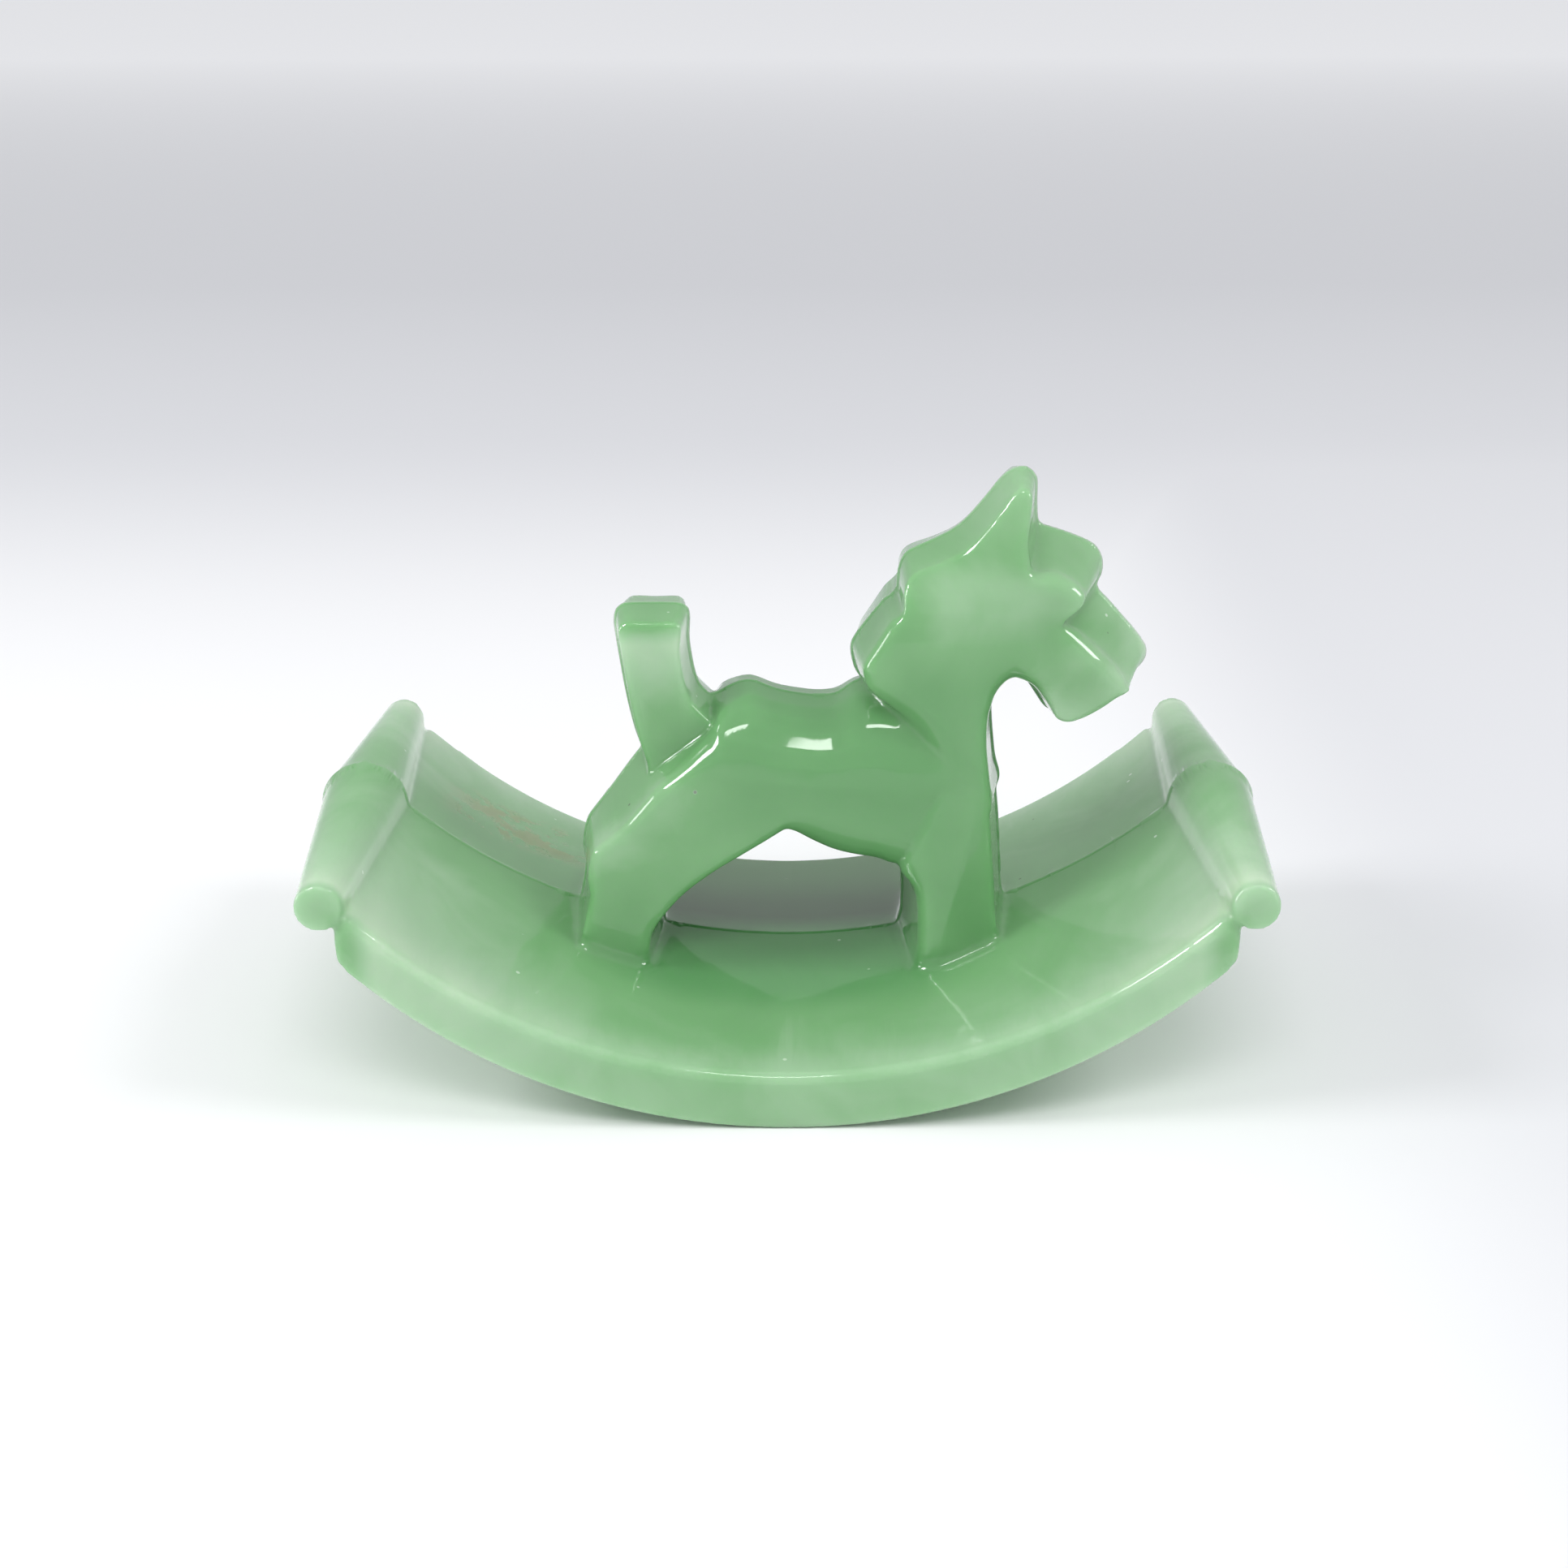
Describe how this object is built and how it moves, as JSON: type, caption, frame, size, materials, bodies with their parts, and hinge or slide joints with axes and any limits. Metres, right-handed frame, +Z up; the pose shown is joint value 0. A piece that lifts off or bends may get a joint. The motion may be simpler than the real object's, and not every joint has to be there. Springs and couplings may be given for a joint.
{
  "type": "rocking dog figurine",
  "caption": "Pressed translucent glass terrier standing on a curved rocker plate whose two ends finish in a roll.",
  "frame": {"origin": "on the ground under the middle of the rocker plate, at the bottom centre of the bounding box", "axes": "+X towards the dog's muzzle along the rocker, +Y across the rocker along its rolls, +Z up"},
  "size_m": [0.1004, 0.056, 0.0612],
  "materials": {
    "jade_glass": "gloss"
  },
  "bodies": {
    "root": {"rocker_plate": "jade_glass", "tail_end_roll": "jade_glass", "head_end_roll": "jade_glass", "tail": "jade_glass", "haunch": "jade_glass", "hind_leg": "jade_glass", "torso": "jade_glass", "chest": "jade_glass", "fore_leg": "jade_glass", "neck": "jade_glass", "head": "jade_glass", "ear": "jade_glass", "brow": "jade_glass", "muzzle": "jade_glass"}
  },
  "joints": []
}
